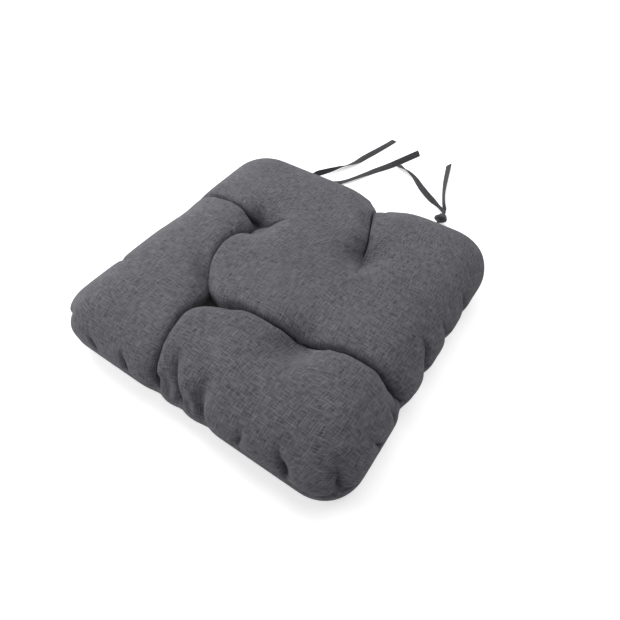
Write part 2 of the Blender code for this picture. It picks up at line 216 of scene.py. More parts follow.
class Graph:
    """A material or node group being wired together."""

    def __init__(self, tree: bpy.types.NodeTree) -> None:
        """Keep the node tree that the nodes go into."""
        self.tree = tree

    def node(self, kind: str, **settings: object) -> bpy.types.Node:
        """Add a node and set its properties.

        Args:
            kind: The node's type.
            **settings: Its properties by name.

        Returns:
            The node.
        """
        made = self.tree.nodes.new(kind)
        for name, value in settings.items():
            setattr(made, name, value)
        return made

    def put(self, socket: bpy.types.NodeSocket, value: object) -> None:
        """Link a socket to another, or set its value.

        Args:
            socket: The input.
            value: The output to link to it, or a plain value.
        """
        if isinstance(value, bpy.types.NodeSocket):
            self.tree.links.new(value, socket)
        else:
            socket.default_value = value

    def math(
        self, operation: str, first: object, second: object = 0.0, clamp: bool = False
    ) -> bpy.types.NodeSocket:
        """Add a Math node.

        Args:
            operation: What it does.
            first: Its first input.
            second: Its second input.
            clamp: Whether its result is held between 0 and 1.

        Returns:
            Its output.
        """
        made = self.node("ShaderNodeMath", operation=operation, use_clamp=clamp)
        for socket, value in zip(made.inputs, (first, second)):
            self.put(socket, value)
        return made.outputs[0]

    def noise(
        self, vector: bpy.types.NodeSocket, scale: float, detail: float, roughness: float
    ) -> bpy.types.NodeSocket:
        """Add a Noise Texture.

        Args:
            vector: Where it is read.
            scale: How many features there are to a metre.
            detail: How many octaves it has.
            roughness: How strong the finer octaves are.

        Returns:
            Its factor.
        """
        made = self.node("ShaderNodeTexNoise")
        self.put(made.inputs["Vector"], vector)
        made.inputs["Scale"].default_value = scale
        made.inputs["Detail"].default_value = detail
        made.inputs["Roughness"].default_value = roughness
        return made.outputs["Fac"]

    def stretched(self, vector: bpy.types.NodeSocket, scale: tuple) -> bpy.types.NodeSocket:
        """Scale a vector by a different number in each direction.

        Args:
            vector: The vector.
            scale: The three numbers.

        Returns:
            The scaled vector.
        """
        made = self.node("ShaderNodeVectorMath", operation="MULTIPLY")
        self.put(made.inputs[0], vector)
        made.inputs[1].default_value = scale
        return made.outputs[0]

    def spread(
        self, value: bpy.types.NodeSocket, low: float, high: float, start: float, end: float
    ) -> bpy.types.NodeSocket:
        """Map a value from one range to another, held at both ends.

        Args:
            value: The value.
            low: Where the old range starts.
            high: Where it ends.
            start: Where the new range starts.
            end: Where it ends.

        Returns:
            The mapped value.
        """
        made = self.node("ShaderNodeMapRange", clamp=True)
        for name, number in zip(
            ("Value", "From Min", "From Max", "To Min", "To Max"), (value, low, high, start, end)
        ):
            self.put(made.inputs[name], number)
        return made.outputs[0]

    def tint(
        self, factor: bpy.types.NodeSocket, first: tuple, second: tuple
    ) -> bpy.types.NodeSocket:
        """Mix two colours.

        Args:
            factor: The share of the second one, from 0 to 1.
            first: The first colour, with alpha.
            second: The second colour, with alpha.

        Returns:
            The mixed colour.
        """
        made = self.node("ShaderNodeMix", data_type="RGBA")
        self.put(made.inputs["Factor"], factor)
        self.put(made.inputs["A"], first)
        self.put(made.inputs["B"], second)
        return made.outputs["Result"]

    def bump(
        self,
        shader: bpy.types.Node,
        height: bpy.types.NodeSocket,
        strength: float,
        distance: float,
    ) -> None:
        """Raise a shader's surface by a pattern.

        Args:
            shader: The shader.
            height: The pattern, from 0 to 1.
            strength: The share of it that is used.
            distance: The height of 1, in metres.
        """
        made = self.node("ShaderNodeBump")
        made.inputs["Strength"].default_value = strength
        made.inputs["Distance"].default_value = distance
        self.put(made.inputs["Height"], height)
        self.put(shader.inputs["Normal"], made.outputs[0])


def new_material(name: str) -> tuple[bpy.types.Material, Graph, bpy.types.Node]:
    """Start a material.

    Args:
        name: Its name.

    Returns:
        The material, its graph and its shader.
    """
    material = bpy.data.materials.new(name)
    material.use_nodes = True
    return material, Graph(material.node_tree), material.node_tree.nodes["Principled BSDF"]


def weave_group() -> bpy.types.NodeTree:
    """Build the node group of a plain mélange weave.

    Returns:
        The group. Its inputs are a vector in metres of cloth and the yarn pitch. Its outputs
        are the shade of the yarn, from 0 to 1, and the height of the weave.
    """
    group = bpy.data.node_groups.new("melange_weave", "ShaderNodeTree")
    face = group.interface
    face.new_socket("Vector", in_out="INPUT", socket_type="NodeSocketVector")
    face.new_socket("Pitch", in_out="INPUT", socket_type="NodeSocketFloat")
    face.new_socket("Shade", in_out="OUTPUT", socket_type="NodeSocketFloat")
    face.new_socket("Height", in_out="OUTPUT", socket_type="NodeSocketFloat")
    graph = Graph(group)
    inputs = graph.node("NodeGroupInput")
    outputs = graph.node("NodeGroupOutput")
    vector = inputs.outputs["Vector"]
    wobble = graph.node("ShaderNodeTexNoise")
    graph.put(wobble.inputs["Vector"], vector)
    wobble.inputs["Scale"].default_value = 120.0
    wobble.inputs["Detail"].default_value = 1.0
    centred = graph.node("ShaderNodeVectorMath", operation="SUBTRACT")
    graph.put(centred.inputs[0], wobble.outputs["Color"])
    centred.inputs[1].default_value = (0.5, 0.5, 0.5)
    small = graph.stretched(centred.outputs[0], (0.0003, 0.0003, 0.0))
    bent = graph.node("ShaderNodeVectorMath", operation="ADD")
    graph.put(bent.inputs[0], vector)
    graph.put(bent.inputs[1], small)
    split = graph.node("ShaderNodeSeparateXYZ")
    graph.put(split.inputs[0], bent.outputs[0])
    turn = graph.math("DIVIDE", math.pi, inputs.outputs["Pitch"])
    across = graph.math("MULTIPLY", split.outputs[0], turn)
    along = graph.math("MULTIPLY", split.outputs[1], turn)
    wave_u = graph.math("SINE", across)
    wave_v = graph.math("SINE", along)
    over = graph.math("MULTIPLY", wave_u, wave_v)
    warp_up = graph.spread(over, -0.35, 0.35, 0.0, 1.0)
    rib_u = graph.math("ABSOLUTE", wave_u)
    rib_v = graph.math("ABSOLUTE", wave_v)
    yarns = graph.math("MULTIPLY", rib_u, rib_v)
    weft = graph.noise(graph.stretched(bent.outputs[0], (110.0, 1000.0, 1.0)), 1.0, 3.0, 0.6)
    warp = graph.noise(graph.stretched(bent.outputs[0], (1000.0, 110.0, 1.0)), 1.0, 3.0, 0.6)
    one_warp = graph.math("MULTIPLY", warp, warp_up)
    one_weft = graph.math("MULTIPLY", weft, graph.math("SUBTRACT", 1.0, warp_up))
    yarn_shade = graph.math("ADD", one_warp, one_weft)
    slub_v = graph.noise(graph.stretched(vector, (850.0, 60.0, 1.0)), 1.0, 2.0, 0.55)
    slub_u = graph.noise(graph.stretched(vector, (60.0, 850.0, 1.0)), 1.0, 2.0, 0.55)
    slub_v = graph.spread(slub_v, 0.5, 0.78, 0.0, 1.0)
    slub_u = graph.spread(slub_u, 0.5, 0.78, 0.0, 1.0)
    slubs = graph.math("MAXIMUM", slub_u, slub_v)
    yarn_shade = graph.spread(yarn_shade, 0.33, 0.67, 0.0, 0.8)
    shade = graph.math("ADD", yarn_shade, graph.math("MULTIPLY", slubs, 0.4))
    graph.put(outputs.inputs["Shade"], shade)
    height = graph.math("ADD", yarns, graph.math("MULTIPLY", slubs, 0.6))
    graph.put(outputs.inputs["Height"], height)
    return group


class Place(Enum):
    """Where a finish takes its pattern from."""

    CLOTH = "cloth"
    SPACE = "space"


@dataclass(frozen=True)
class WovenFinish:
    """A mélange cloth: two yarn colours, a weave, a soft nap, and painted shade that darkens its
    deep creases.
    """

    name: str
    dark: tuple
    light: tuple
    pitch: float
    place: Place
    relief: float = 0.6
    relief_depth: float = 0.00025
    clouding: float = 0.06
    # The share of the colour left at the bottom of a deep crease, as painted shade.
    painted_crease_shade: float = 0.35
    roughness: float = 0.92
    sheen: float = 0.12

    def build(self, weave: bpy.types.NodeTree) -> bpy.types.Material:
        """Make the material.

        Args:
            weave: The node group from weave_group.

        Returns:
            The material.
        """
        material, graph, shader = new_material(self.name)
        if self.place is Place.CLOTH:
            source = graph.node("ShaderNodeUVMap", uv_map="cloth").outputs[0]
        else:
            source = graph.node("ShaderNodeTexCoord").outputs["Object"]
        woven = graph.node("ShaderNodeGroup", node_tree=weave)
        graph.put(woven.inputs["Vector"], source)
        woven.inputs["Pitch"].default_value = self.pitch
        clouds = graph.noise(source, 14.0, 3.0, 0.6)
        clouds = graph.spread(clouds, 0.3, 0.7, -self.clouding, self.clouding)
        shade = graph.math("ADD", woven.outputs["Shade"], clouds)
        # Painted shade: the fold attribute darkens the base colour along the deep creases, where
        # shade falls.
        fold = graph.node("ShaderNodeAttribute", attribute_name="fold")
        left = graph.spread(fold.outputs["Fac"], 0.0, 1.0, 1.0, self.painted_crease_shade)
        shade = graph.math("MULTIPLY", shade, left)
        shade = graph.math("ADD", shade, 0.0, clamp=True)
        colour = graph.tint(shade, (*self.dark, 1), (*self.light, 1))
        graph.put(shader.inputs["Base Color"], colour)
        polished = self.roughness - 0.1
        rough = graph.spread(woven.outputs["Shade"], 0.0, 1.0, self.roughness, polished)
        graph.put(shader.inputs["Roughness"], rough)
        graph.bump(shader, woven.outputs["Height"], self.relief, self.relief_depth)
        shader.inputs["Specular IOR Level"].default_value = 0.25
        shader.inputs["Sheen Weight"].default_value = self.sheen
        shader.inputs["Sheen Roughness"].default_value = 0.6
        return material


@dataclass(frozen=True)
class ThreadFinish:
    """A twisted polyester sewing thread."""

    name: str = "twisted_thread"
    dark: tuple = (0.035, 0.035, 0.04)
    light: tuple = (0.11, 0.11, 0.12)
    twist: float = 2600.0

    def build(self) -> bpy.types.Material:
        """Make the material.

        Returns:
            The material.
        """
        material, graph, shader = new_material(self.name)
        source = graph.node("ShaderNodeTexCoord").outputs["Object"]
        split = graph.node("ShaderNodeSeparateXYZ")
        graph.put(split.inputs[0], source)
        slant = graph.math("ADD", split.outputs[1], split.outputs[2])
        slant = graph.math("ADD", split.outputs[0], slant)
        turns = graph.math("SINE", graph.math("MULTIPLY", slant, self.twist))
        plies = graph.math("ABSOLUTE", turns)
        fuzz = graph.noise(source, 900.0, 3.0, 0.6)
        # Painted shade: the thread is darker in the grooves between its plies, where its bump
        # sinks.
        shade = graph.math("MULTIPLY", plies, fuzz)
        graph.put(shader.inputs["Base Color"], graph.tint(shade, (*self.dark, 1), (*self.light, 1)))
        graph.bump(shader, plies, 0.6, 0.00015)
        graph.put(shader.inputs["Roughness"], graph.spread(fuzz, 0.0, 1.0, 0.5, 0.75))
        shader.inputs["Sheen Weight"].default_value = 0.1
        return material


@dataclass(frozen=True)
class FibreFinish:
    """Loose white polyester fibre."""

    name: str = "loose_fibre"
    shadow: tuple = (0.62, 0.62, 0.6)
    bright: tuple = (0.88, 0.88, 0.86)

    def build(self) -> bpy.types.Material:
        """Make the material.

        Returns:
            The material.
        """
        material, graph, shader = new_material(self.name)
        source = graph.node("ShaderNodeTexCoord").outputs["Object"]
        tufts = graph.noise(source, 60.0, 6.0, 0.7)
        hairs = graph.noise(graph.stretched(source, (1400.0, 240.0, 240.0)), 1.0, 3.0, 0.7)
        mixed = graph.math("MULTIPLY", graph.math("ADD", tufts, hairs), 0.5)
        shade = graph.spread(mixed, 0.3, 0.7, 0.0, 1.0)
        colour = graph.tint(shade, (*self.shadow, 1), (*self.bright, 1))
        graph.put(shader.inputs["Base Color"], colour)
        graph.bump(shader, mixed, 0.8, 0.0015)
        graph.put(shader.inputs["Roughness"], graph.spread(hairs, 0.0, 1.0, 0.85, 1.0))
        return material


# ---------------------------------------------------------------- stage


@dataclass
class Studio:
    """The floor, the lights and the camera."""

    azimuth: float = 33.9
    elevation: float = 51.0
    distance: float = 0.582
    lens: float = 27.8
    aim: tuple = (0.0437, -0.0151, 0.04)
    floor_size: float = 12.0
    floor_glow: float = 0.10
    floor_white: float = 0.55
    sky: float = 0.27

    def build(self) -> None:
        """Set the camera, the floor and the lights."""
        self.camera()
        self.floor()
        self.light("key", (-0.9, 0.4, 1.0), 1.0, 11.6)
        self.light("top", (0.2, 0.6, 1.75), 1.6, 18.0)
        self.light("side", (-0.9, -0.7, 0.5), 0.7, 6.4)
        world = bpy.data.worlds.new("studio")
        world.use_nodes = True
        background = world.node_tree.nodes["Background"]
        background.inputs["Color"].default_value = (1.0, 1.0, 1.0, 1.0)
        background.inputs["Strength"].default_value = self.sky
        bpy.context.scene.world = world
        bpy.context.scene.view_settings.view_transform = "Standard"

    def camera(self) -> None:
        """Place the camera and make it the scene's own."""
        lens = bpy.data.cameras.new("viewpoint")
        lens.lens = self.lens
        lens.sensor_width = 36.0
        lens.clip_start = 0.01
        eye = bpy.data.objects.new("viewpoint", lens)
        bpy.context.scene.collection.objects.link(eye)
        turn = math.radians(self.azimuth)
        rise = math.radians(self.elevation)
        level = math.cos(rise)
        away = Vector((math.sin(turn) * level, -math.cos(turn) * level, math.sin(rise)))
        eye.location = Vector(self.aim) + away * self.distance
        eye.rotation_euler = away.to_track_quat("Z", "Y").to_euler()
        bpy.context.scene.camera = eye

    def floor(self) -> None:
        """Lay the pale floor just under the pad."""
        half = self.floor_size / 2
        corners = [(-half, -half, 0.0), (half, -half, 0.0), (half, half, 0.0), (-half, half, 0.0)]
        floor = new_piece("floor", corners, [(0, 1, 2, 3)], smooth=False)
        material, graph, shader = new_material("pale_floor")
        shader.inputs["Base Color"].default_value = (0.8, 0.8, 0.8, 1.0)
        shader.inputs["Emission Color"].default_value = (1.0, 1.0, 1.0, 1.0)
        seen = graph.node("ShaderNodeLightPath").outputs["Is Camera Ray"]
        glow = graph.spread(seen, 0.0, 1.0, self.floor_glow, self.floor_white)
        graph.put(shader.inputs["Emission Strength"], glow)
        shader.inputs["Roughness"].default_value = 0.9
        shader.inputs["Specular IOR Level"].default_value = 0.1
        floor.data.materials.append(material)

    def light(self, name: str, place: tuple, size: float, power: float) -> None:
        """Hang a square softbox that faces the pad.

        Args:
            name: Its name.
            place: Its centre, in metres.
            size: The length of its side, in metres.
            power: Its power, in watts.
        """
        lamp = bpy.data.lights.new(name, "AREA")
        lamp.size = size
        lamp.energy = power
        holder = bpy.data.objects.new(name, lamp)
        holder.location = place
        holder.rotation_euler = Vector(place).to_track_quat("Z", "Y").to_euler()
        bpy.context.scene.collection.objects.link(holder)


# ---------------------------------------------------------------- ties


@dataclass
class TapeSizes:
    """The tape that the ties are made of, and where it leaves the pad."""

    width: float = 0.011
    thickness: float = 0.0008
    gap: float = 0.001
    offset: float = 0.115
    seam: float = 0.200
    seam_height: float = 0.035
    gather_start: float = 0.012
    gather_end: float = 0.054
    knot_spacing: float = 0.0014

    @property
    def spacing(self) -> float:
        """The distance between the middles of a loose pair."""
        return self.width + self.gap

    @property
    def lift(self) -> float:
        """The height of a flat tape's lower face where it leaves the seam."""
        return self.seam_height - self.thickness / 2


TAPE = TapeSizes()
LIFT = TAPE.lift
KNOT_OFFSET = -0.0192

LEFT_OUTER_ROUTE = (
    (0.0, 0.0030, LIFT, 0),
    (-0.0010, 0.0120, 0.0320, 4),
    (-0.0040, 0.0230, 0.0215, 22),
    (-0.0075, 0.0340, 0.0090, 52),
    (-0.0095, 0.0460, 0.0015, 78),
    (-0.0075, 0.0600, 0.0, 94),
    (0.0, 0.0725, 0.0, 91),
    (0.0098, 0.0887, 0.0, 74),
    (0.0150, 0.0999, 0.0, 57),
    (0.0204, 0.1109, 0.0, 38),
    (0.0270, 0.1278, 0.0, 14),
    (0.0331, 0.1516, 0.0, -9),
    (0.0421, 0.1873, 0.0, -7),
    (0.0519, 0.2322, 0.0, 4),
)
LEFT_INNER_ROUTE = (
    (0.0, 0.0030, LIFT, 0),
    (0.0005, 0.0120, 0.0320, 0),
    (0.0020, 0.0230, 0.0215, 0),
    (0.0050, 0.0340, 0.0095, -3),
    (0.0090, 0.0460, 0.0020, -7),
    (0.0154, 0.0589, 0.0, -8),
    (0.0291, 0.0750, 0.0, 13),
    (0.0402, 0.0961, 0.0, 12),
    (0.0536, 0.1251, 0.0, -4),
    (0.0702, 0.1536, 0.0, -22),
    (0.0816, 0.1770, 0.0, -40),
    (0.0974, 0.2163, 0.0, -46),
)
RIGHT_LEAD = (
    (0.0, 0.0030, LIFT, 0),
    (-0.0006, 0.0120, 0.0308, 8),
    (-0.0033, 0.0230, 0.0222, 30),
    (-0.0096, 0.0340, 0.0130, 56),
    (-0.0162, 0.0450, 0.0060, 80),
    (KNOT_OFFSET, 0.0540, 0.0040, 90),
    (KNOT_OFFSET, 0.0610, 0.0040, 90),
    (KNOT_OFFSET, 0.0690, 0.0040, 90),
    (KNOT_OFFSET, 0.0770, 0.0040, 90),
)
RIGHT_INNER_ROUTE = RIGHT_LEAD + (
    (-0.0199, 0.0830, 0.0030, 92),
    (-0.0255, 0.0905, 0.0010, 100),
    (-0.0328, 0.0958, 0.0, 105),
    (-0.0406, 0.1008, 0.0, 96),
    (-0.0545, 0.1085, 0.0, 73),
    (-0.0764, 0.1241, 0.0, 69),
    (-0.0922, 0.1373, 0.0, 80),
    (-0.1062, 0.1481, 0.0, 104),
    (-0.1205, 0.1561, 0.0, 128),
    (-0.1296, 0.1613, 0.0, 156),
    (-0.1405, 0.1668, 0.0, 174),
)
RIGHT_OUTER_ROUTE = RIGHT_LEAD + (
    (-0.0197, 0.0830, 0.0030, 88),
    (-0.0232, 0.0925, 0.0010, 84),
    (-0.0307, 0.1050, 0.0, 80),
    (-0.0392, 0.1235, 0.0, 77),
    (-0.0474, 0.1452, 0.0, 65),
    (-0.0571, 0.1747, 0.0, 50),
    (-0.0687, 0.2132, 0.0, 42),
)


class Side(Enum):
    """Which of the two tapes an end belongs to. The right one is knotted."""

    LEFT = -1
    RIGHT = 1


@dataclass
class Tie:
    """One free end of a tape, from the seam to its hemmed tip.

    strand is -1 for the end nearer to -X and 1 for the other one.
    """

    name: str
    body: str
    node: str
    side: Side
    strand: int
    route: tuple
    half_thickness: float = 0.0006
    edge_round: float = 0.0003
    stitch_inset: float = 0.0016
    hem: float = 0.009

    def spread(self, past: np.ndarray) -> float | np.ndarray:
        """Half the distance between the middles of a pair.

        Args:
            past: The distance past the seam, in metres.

        Returns:
            Half the pair's spacing there.
        """
        if self.side is Side.LEFT:
            return TAPE.spacing / 2
        eased = smoothstep((past - TAPE.gather_start) / (TAPE.gather_end - TAPE.gather_start))
        return (TAPE.spacing + (TAPE.knot_spacing - TAPE.spacing) * eased) / 2

    def line(self) -> tuple[np.ndarray, np.ndarray]:
        """Work out the tie's centreline and lean.

        Returns:
            The points, in metres, and the lean at each, in radians.
        """
        rows = smooth_curve(self.route, 0.0015)
        drift, past, lift, lean = rows.T
        tilt = np.radians(lean)
        x = self.side.value * TAPE.offset + self.strand * self.spread(past) + drift
        y = TAPE.seam + past
        stand = np.abs(np.sin(tilt)) * (TAPE.width - TAPE.thickness) / 2
        z = np.maximum(lift, 0.0006) + stand + TAPE.thickness / 2
        return np.stack([x, y, z], axis=1), tilt

    def section(self) -> np.ndarray:
        """Work out the tape's outline.

        Returns:
            Its (across, out) pairs in metres, once round.
        """
        half = TAPE.width / 2
        thick = self.half_thickness
        shoulder = half - self.edge_round
        stitch = half - self.stitch_inset
        across = np.array([-shoulder, -stitch, -half / 2, 0.0, half / 2, stitch, shoulder])
        dip = np.array([0.75, 0.55, 1.0, 1.0, 1.0, 0.55, 0.75]) * thick
        upper = list(zip(across, dip))
        lower = list(zip(across[::-1], -dip[::-1]))
        return np.array(upper + [(half, 0.0)] + lower + [(-half, 0.0)])

    def build(self, material: bpy.types.Material) -> None:
        """Args:
            material: The tape's finish.
        """
        points, tilt = self.line()
        heading = unit(np.gradient(points, axis=0))
        side = unit(np.cross(heading, [0.0, 0.0, 1.0]))
        up = np.array([0.0, 0.0, 1.0])
        across = unit(np.cos(tilt)[:, None] * side + np.sin(tilt)[:, None] * up)
        out = unit(np.cross(across, heading))
        gaps = np.linalg.norm(np.diff(points, axis=0), axis=1)
        travelled = np.r_[0.0, np.cumsum(gaps)]
        total = travelled[-1]
        section = self.section()
        around = len(section)
        hem = 1.0 + 0.5 * smoothstep((travelled - (total - self.hem)) / 0.0008)
        rings = (
            points[:, None, :]
            + section[None, :, :1] * across[:, None, :]
            + section[None, :, 1:] * hem[:, None, None] * out[:, None, :]
        )
        count = len(points)
        faces = []
        uvs = []
        girth = np.linalg.norm(np.diff(np.r_[section, section[:1]], axis=0), axis=1)
        about = np.r_[0.0, np.cumsum(girth)]
        for ring in range(count - 1):
            for place in range(around):
                after = (place + 1) % around
                base = ring * around
                ahead = base + around
                faces.append((base + place, base + after, ahead + after, ahead + place))
                uvs += [
                    (travelled[ring], about[place]),
                    (travelled[ring], about[place + 1]),
                    (travelled[ring + 1], about[place + 1]),
                    (travelled[ring + 1], about[place]),
                ]
        half_round = around // 2 - 2
        for ring in (0, count - 1):
            base = ring * around
            for place in range(half_round):
                across_from = base + around - 2 - place
                quad = [base + place, base + place + 1, across_from - 1, across_from]
                order = quad[::-1] if ring == 0 else quad
                faces.append(tuple(order))
                uvs += [(0.0, 0.0), (0.001, 0.0), (0.001, 0.001), (0.0, 0.001)]
            left = (base + around - 1, base, base + around - 2)
            right = (base + half_round, base + half_round + 1, base + half_round + 2)
            for triple in (left, right):
                faces.append(triple[::-1] if ring == 0 else triple)
                uvs += [(0.0, 0.0), (0.001, 0.0), (0.001, 0.001)]
        piece = new_piece(self.name, rings.reshape(-1, 3), faces, uvs)
        face_out(piece)
        finish_mesh(piece, 1)
        declare(piece, material, self.body, self.node)
        LOG.info("%s is %.1f mm long", self.name, total * 1000)


@dataclass
class Knot:
    """The overhand knot in the right pair of ties."""

    x: float = 0.0958
    y: float = 0.2690
    z: float = 0.0095
    grain: float = 0.0006
    core_radius: float = 0.0066
    core_shift: float = 0.0010
    taper_length: float = 0.0085
    clearance: float = 0.0004

    def build(self, material: bpy.types.Material) -> None:
        """Tie the knot from two turns of tape round a core.

        Args:
            material: The tape's finish, as its lighter copy with painted light.
        """
        turns = (
            (-0.0023, 0.0067, 0.0030, (28, 0, 10)),
            (0.0020, 0.0059, 0.0028, (-34, 0, -16)),
        )
        parts = []
        bpy.ops.object.select_all(action="DESELECT")
        for along, major, minor, turn in turns:
            bpy.ops.mesh.primitive_torus_add(
                major_segments=36,
                minor_segments=14,
                major_radius=major,
                minor_radius=minor,
                location=(self.x, self.y + along, self.z),
                rotation=(math.radians(90 + turn[0]), math.radians(turn[1]), math.radians(turn[2])),
            )
            parts.append(bpy.context.object)
        bpy.ops.mesh.primitive_uv_sphere_add(
            segments=24,
            ring_count=16,
            radius=self.core_radius,
            location=(self.x, self.y + self.core_shift, self.z),
        )
        core = bpy.context.object
        core.scale = (1.0, 1.6, 1.05)
        parts.append(core)
        bpy.ops.object.select_all(action="DESELECT")
        for part in parts:
            part.select_set(True)
        bpy.context.view_layer.objects.active = core
        bpy.ops.object.transform_apply(location=True, rotation=True, scale=True)
        bpy.ops.object.join()
        knot = bpy.context.object
        knot.name = "right_tie_overhand_knot"
        melt = knot.modifiers.new("melt", "REMESH")
        melt.mode = "VOXEL"
        melt.voxel_size = self.grain
        bpy.ops.object.modifier_apply(modifier=melt.name)
        ease = knot.modifiers.new("ease", "SMOOTH")
        ease.factor = 0.5
        ease.iterations = 3
        bpy.ops.object.modifier_apply(modifier=ease.name)
        self.taper(knot)
        shade_smooth(knot)
        declare(knot, material, "right_tie_pair", "right_tie_knot")

    def taper(self, knot: bpy.types.Object) -> None:
        """Narrow the knot towards the end where the strands leave it.

        Args:
            knot: The knot's piece.
        """
        for vertex in knot.data.vertices:
            share = (vertex.co.y - self.y) / self.taper_length
            scale = 1.0 - 0.46 * float(smoothstep(share)) + 0.06 * float(smoothstep(-share))
            vertex.co.x = self.x + (vertex.co.x - self.x) * scale
            vertex.co.z = max(self.z + (vertex.co.z - self.z) * scale, self.clearance)


# ---------------------------------------------------------------- cover


@dataclass
class Crease:
    """A line where the cloth is drawn down between two tufts, or from a tuft to the edge.

    rows are (u, v, depth) in metres of cloth, and lean turns the fold's wall over, in degrees.
    A soft crease is a broad hollow of that half width, and has no wall. The depth is measured
    from lift above the filling, where the cloth swells to.
    """

    rows: tuple
    lean: float = 0.0
    soft: float = 0.0
    lift: float = 0.0


@dataclass
class ClothSheet:
    """A square grid of cloth that is relaxed over the filling."""

    cells: int = 150
    half: float = 0.1975
    front_radius: float = 0.049
    back_radius: float = 0.069
    seam_height: float = 0.035
    run: float = 0.055
    rise: float = 0.043
    dome: float = 0.004
    up: int = 1
    excess: float = 0.045
    crease_excess: float = 0.30
    crease_reach: float = 0.016
    tuft_calm: float = 0.040
    cap: float = 0.005
    seam_calm: float = 0.020
    creases: tuple = ()
    tufts: tuple = ()
    pinch: float = 0.0035
    floor: float | None = None
    pressure: float = 0.0004
    squeeze: float = 0.15
    stiffness: float = 0.12
    shear: float = 0.35
    steps: int = 400
    groove: float = 0.0022
    notches: tuple = ()
    hollows: tuple = ()

    def lay_out(self) -> None:
        """Lay the grid over the plain swell of the filling."""
        turn = np.linspace(0.0, math.pi / 2, 400)
        inset = self.run * (1 - np.cos(turn))
        climb = self.rise * np.sin(turn)
        length = np.r_[0.0, np.cumsum(np.hypot(np.diff(inset), np.diff(climb)))]
        self.reach = length[-1] + self.half - self.run
        line = np.linspace(-1.0, 1.0, self.cells + 1)
        a, b = np.meshgrid(line, line, indexing="ij")
        ring = np.maximum(np.abs(a), np.abs(b))
        travelled = (1 - ring) * self.reach
        on_side = travelled < length[-1]
        beyond = self.run + travelled - length[-1]
        inward = np.where(on_side, np.interp(travelled, length, inset), beyond)
        height = np.where(on_side, np.interp(travelled, length, climb), self.rise)
        half = self.half - inward
        front = np.minimum(self.front_radius * ring**3, half * 0.98)
        back = np.minimum(self.back_radius * ring**3, half * 0.98)
        safe = np.where(ring > 0, ring, 1.0)
        x = np.zeros_like(a)
        y = np.zeros_like(a)
        across = np.abs(a) >= np.abs(b)
        main, cross = self.round_side(b / safe, half, front, back)
        for sign in (1, -1):
            here = across & (a * sign > 0)
            x[here] = sign * main[here]
            y[here] = cross[here]
        for sign, radius in ((1, back), (-1, front)):
            main, cross = self.round_side(a / safe, half, radius, radius)
            here = ~across & (b * sign > 0)
            x[here] = cross[here]
            y[here] = sign * main[here]
        for at_x, at_y, depth, width in self.notches:
            apart = np.hypot(x - at_x, y - at_y)
            inward = depth * np.exp(-((apart / width) ** 2)) * smoothstep((ring - 0.8) / 0.2)
            size = np.maximum(np.hypot(x, y), 1e-9)
            side = np.maximum(np.abs(x), np.abs(y))
            x = x - inward * np.where(np.abs(x) > 0.8 * side, x / size, 0.0)
            y = y - inward * np.where(np.abs(y) > 0.8 * side, y / size, 0.0)
        middle = np.clip(ring * self.reach / (self.half - self.run), 0.0, 1.0)
        z = self.seam_height + self.up * (height + self.dome * (1 - middle**2))
        full = smoothstep(height / self.rise * 1.4)
        for at_x, at_y, depth, width in self.hollows:
            apart = np.hypot(x - at_x, y - at_y)
            z = z - self.up * depth * full * np.exp(-((apart / width) ** 2))
        self.rest = np.stack([x, y, z], axis=-1)
        self.cloth = np.stack([a * self.reach, b * self.reach], axis=-1)

    @staticmethod
    def round_side(
        share: np.ndarray, half: np.ndarray, low_radius: np.ndarray, high_radius: np.ndarray
    ) -> tuple[np.ndarray, np.ndarray]:
        """Walk one side of a rounded square by length.

        Args:
            share: How far along the side, from -1 to 1.
            half: Half the square's width.
            low_radius: The corner radius at -1.
            high_radius: The corner radius at 1.

        Returns:
            The distance out from the middle, and the distance along.
        """
        radius = np.where(share < 0, low_radius, high_radius)
        straight = half - radius
        travelled = np.abs(share) * (straight + radius * math.pi / 4)
        turn = np.maximum(travelled - straight, 0.0) / np.maximum(radius, 1e-9)
        out = half - radius * (1 - np.cos(turn))
        along = np.where(travelled > straight, straight + radius * np.sin(turn), travelled)
        return out, along * np.sign(share)

    def normals(self, points: np.ndarray) -> np.ndarray:
        """The grid's unit normals, towards the outside.

        Args:
            points: The grid of points.

        Returns:
            A grid of vectors.
        """
        du = np.empty_like(points)
        dv = np.empty_like(points)
        du[1:-1] = points[2:] - points[:-2]
        du[0] = points[1] - points[0]
        du[-1] = points[-1] - points[-2]
        dv[:, 1:-1] = points[:, 2:] - points[:, :-2]
        dv[:, 0] = points[:, 1] - points[:, 0]
        dv[:, -1] = points[:, -1] - points[:, -2]
        return unit(np.cross(du, dv)) * self.up

    def sample(self, values: np.ndarray, where: np.ndarray) -> np.ndarray:
        """Read a grid of vectors between its points.

        Args:
            values: The grid of vectors.
            where: The places, in metres of cloth.

        Returns:
            The vector at each place.
        """
        place = np.clip((where / self.reach + 1) * 0.5 * self.cells, 0, self.cells - 1e-6)
        low = np.floor(place).astype(int)
        part = place - low
        i, j = low[:, 0], low[:, 1]
        s, t = part[:, :1], part[:, 1:]
        near = values[i, j] * (1 - t) + values[i, j + 1] * t
        far = values[i + 1, j] * (1 - t) + values[i + 1, j + 1] * t
        return near * (1 - s) + far * s

